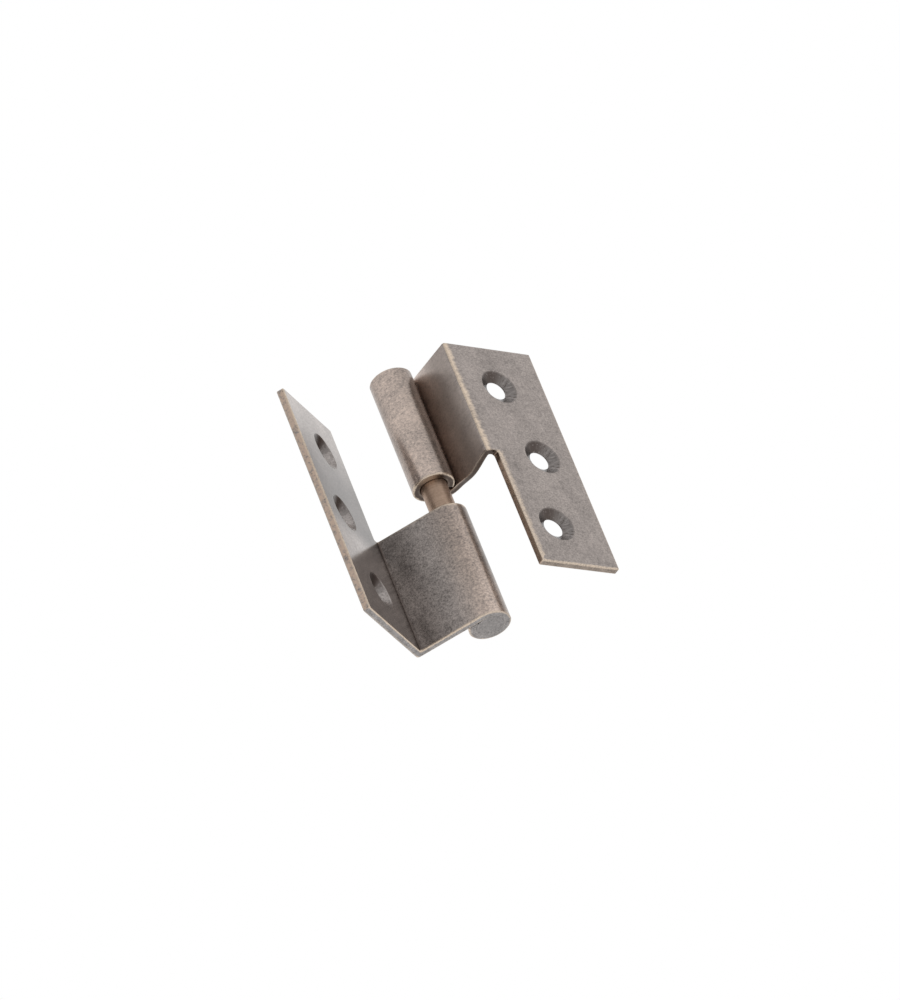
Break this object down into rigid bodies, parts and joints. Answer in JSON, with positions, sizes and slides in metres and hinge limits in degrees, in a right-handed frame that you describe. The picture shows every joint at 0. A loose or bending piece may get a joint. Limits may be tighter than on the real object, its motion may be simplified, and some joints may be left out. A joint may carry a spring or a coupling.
{
  "type": "cranked hinge",
  "caption": "Cranked lift-off hinge with folded sheet leaves, rolled knuckles on a plain pin and staggered countersunk screw holes, for a rebated casement.",
  "frame": {"origin": "on the frame leaf's mounting face, midway between its two outer screw holes", "axes": "+X out of the mounting face towards the pin; +Z along the pin, the way the upper leaf lifts off; +Y towards the cranked edge of the frame leaf"},
  "size_m": [0.0449, 0.0497, 0.0709],
  "materials": {
    "leaf_patina": "antique bronze patina, worn to brass on the edges",
    "pin_steel": "bronzed, turned"
  },
  "bodies": {
    "frame_leaf": {"frame_leaf": "leaf_patina"},
    "hinge_pin": {"hinge_pin": "pin_steel"},
    "lift_off_leaf": {"lift_off_leaf": "leaf_patina"}
  },
  "joints": [
    {"name": "swing", "type": "hinge", "parent": "frame_leaf", "child": "hinge_pin", "pos_m": [0.0174, 0.0168, 0], "axis": [0, 0, 1], "range_deg": [-150.4, 175]},
    {"name": "lift", "type": "slide", "parent": "hinge_pin", "child": "lift_off_leaf", "axis": [0, 0, 1], "range_m": [-0.0082, 0.02]}
  ]
}
